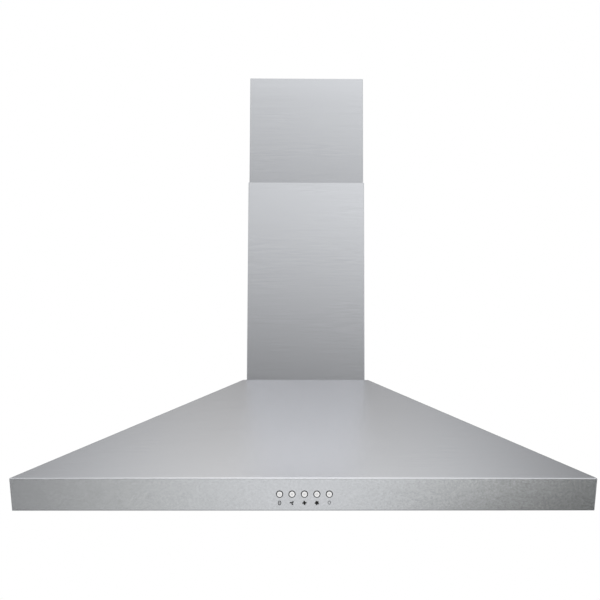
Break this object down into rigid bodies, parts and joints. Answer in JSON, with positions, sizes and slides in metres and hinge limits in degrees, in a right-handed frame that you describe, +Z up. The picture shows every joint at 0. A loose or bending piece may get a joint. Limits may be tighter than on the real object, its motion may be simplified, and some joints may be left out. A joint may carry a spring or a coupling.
{
  "type": "wall mount range hood",
  "caption": "Wall mount range hood: pyramid canopy with push buttons on a leaning front band, telescopic chimney, inner blower and baffle filters.",
  "frame": {"origin": "middle of the hood's lower rear edge, on the wall plane", "axes": "+X to the right seen from the front, +Y into the wall, +Z up"},
  "size_m": [0.9, 0.4805, 0.7791],
  "materials": {
    "brushed_stainless": "horizontally brushed stainless sheet",
    "band_stainless": "fine grained stainless sheet",
    "galvanised_steel": "spangled zinc coated sheet",
    "filter_stainless": "bright pressed stainless channels",
    "zinc_screw": "zinc plated screw",
    "shaft_steel": "ground steel",
    "duct_plastic": "moulded black plastic",
    "wheel_plastic": "moulded black plastic",
    "motor_enamel": "black enamel",
    "box_plastic": "light grey moulded plastic",
    "switch_plastic": "black moulded plastic",
    "cap_silver": "silver coated plastic",
    "bezel_chrome": "plated ring",
    "lamp_trim": "satin",
    "lamp_lens": "frosted",
    "heat_sink": "die cast"
  },
  "bodies": {
    "hood": {"canopy_skin": "brushed_stainless", "front_band": "band_stainless", "back_panel": "galvanised_steel", "underside_panel": "brushed_stainless", "panel_screws": "zinc_screw", "lower_chimney": "brushed_stainless", "chimney_bracket_left": "galvanised_steel", "chimney_bracket_right": "galvanised_steel", "chimney_screws": "zinc_screw", "outlet_flange": "galvanised_steel", "outlet_collar": "duct_plastic", "damper_pin": "shaft_steel", "outlet_transition": "galvanised_steel", "outlet_screws": "zinc_screw", "blower_housing": "galvanised_steel", "inlet_ring_left": "galvanised_steel", "inlet_ring_right": "galvanised_steel", "motor_body": "motor_enamel", "motor_bracket": "galvanised_steel", "motor_capacitor": "box_plastic", "junction_box": "box_plastic", "junction_cover": "box_plastic", "cover_screws": "zinc_screw", "cable_gland": "switch_plastic", "lamp_driver": "box_plastic", "control_block": "switch_plastic", "button_bezels": "bezel_chrome", "lamp_ring_left": "lamp_trim", "lamp_lens_left": "lamp_lens", "lamp_body_left": "heat_sink", "lamp_ring_right": "lamp_trim", "lamp_lens_right": "lamp_lens", "lamp_body_right": "heat_sink"},
    "chimney_slide": {"upper_chimney": "brushed_stainless", "upper_wall_bracket": "galvanised_steel", "upper_bracket_screws": "zinc_screw"},
    "blower_wheel": {"impeller": "wheel_plastic", "motor_shaft": "shaft_steel"},
    "flap_front": {"damper_flap_front": "duct_plastic"},
    "flap_rear": {"damper_flap_rear": "duct_plastic"},
    "filter_left": {"filter_frame_left": "filter_stainless", "filter_baffles_left": "filter_stainless"},
    "filter_right": {"filter_frame_right": "filter_stainless", "filter_baffles_right": "filter_stainless"},
    "catch_left": {"filter_catch_left": "filter_stainless"},
    "catch_right": {"filter_catch_right": "filter_stainless"},
    "push_button_1": {"button_1": "cap_silver"},
    "push_button_2": {"button_2": "cap_silver"},
    "push_button_3": {"button_3": "cap_silver"},
    "push_button_4": {"button_4": "cap_silver"},
    "push_button_5": {"button_5": "cap_silver"}
  },
  "joints": [
    {"name": "button_1_press", "type": "slide", "parent": "hood", "child": "push_button_1", "axis": [0, 0.995, 0.0995], "range_m": [0, 0.002], "stiffness_N_per_m": 600, "springref_m": -0.002},
    {"name": "button_2_press", "type": "slide", "parent": "hood", "child": "push_button_2", "axis": [0, 0.995, 0.0995], "range_m": [0, 0.002], "stiffness_N_per_m": 600, "springref_m": -0.002},
    {"name": "button_3_press", "type": "slide", "parent": "hood", "child": "push_button_3", "axis": [0, 0.995, 0.0995], "range_m": [0, 0.002], "stiffness_N_per_m": 600, "springref_m": -0.002},
    {"name": "button_4_press", "type": "slide", "parent": "hood", "child": "push_button_4", "axis": [0, 0.995, 0.0995], "range_m": [0, 0.002], "stiffness_N_per_m": 600, "springref_m": -0.002},
    {"name": "button_5_press", "type": "slide", "parent": "hood", "child": "push_button_5", "axis": [0, 0.995, 0.0995], "range_m": [0, 0.002], "stiffness_N_per_m": 600, "springref_m": -0.002},
    {"name": "upper_chimney_slide", "type": "slide", "parent": "hood", "child": "chimney_slide", "axis": [0, 0, 1], "range_m": [-0.17, 0.11]},
    {"name": "filter_left_tilt", "type": "hinge", "parent": "hood", "child": "filter_left", "pos_m": [-0.212, -0.078, 0.002], "axis": [1, 0, 0], "range_deg": [0, 70]},
    {"name": "filter_left_catch", "type": "slide", "parent": "filter_left", "child": "catch_left", "axis": [0, 1, 0], "range_m": [0, 0.006], "stiffness_N_per_m": 300, "springref_m": -0.005},
    {"name": "filter_right_tilt", "type": "hinge", "parent": "hood", "child": "filter_right", "pos_m": [0.212, -0.078, 0.002], "axis": [1, 0, 0], "range_deg": [0, 70]},
    {"name": "filter_right_catch", "type": "slide", "parent": "filter_right", "child": "catch_right", "axis": [0, 1, 0], "range_m": [0, 0.006], "stiffness_N_per_m": 300, "springref_m": -0.005},
    {"name": "blower_spin", "type": "hinge", "parent": "hood", "child": "blower_wheel", "pos_m": [0, -0.132, 0.108], "axis": [1, 0, 0], "continuous": true},
    {"name": "flap_front_swing", "type": "hinge", "parent": "hood", "child": "flap_front", "pos_m": [0, -0.085, 0.2502], "axis": [-1, 0, 0], "range_deg": [0, 72]},
    {"name": "flap_rear_swing", "type": "hinge", "parent": "hood", "child": "flap_rear", "pos_m": [0, -0.085, 0.2502], "axis": [1, 0, 0], "range_deg": [0, 72]}
  ]
}
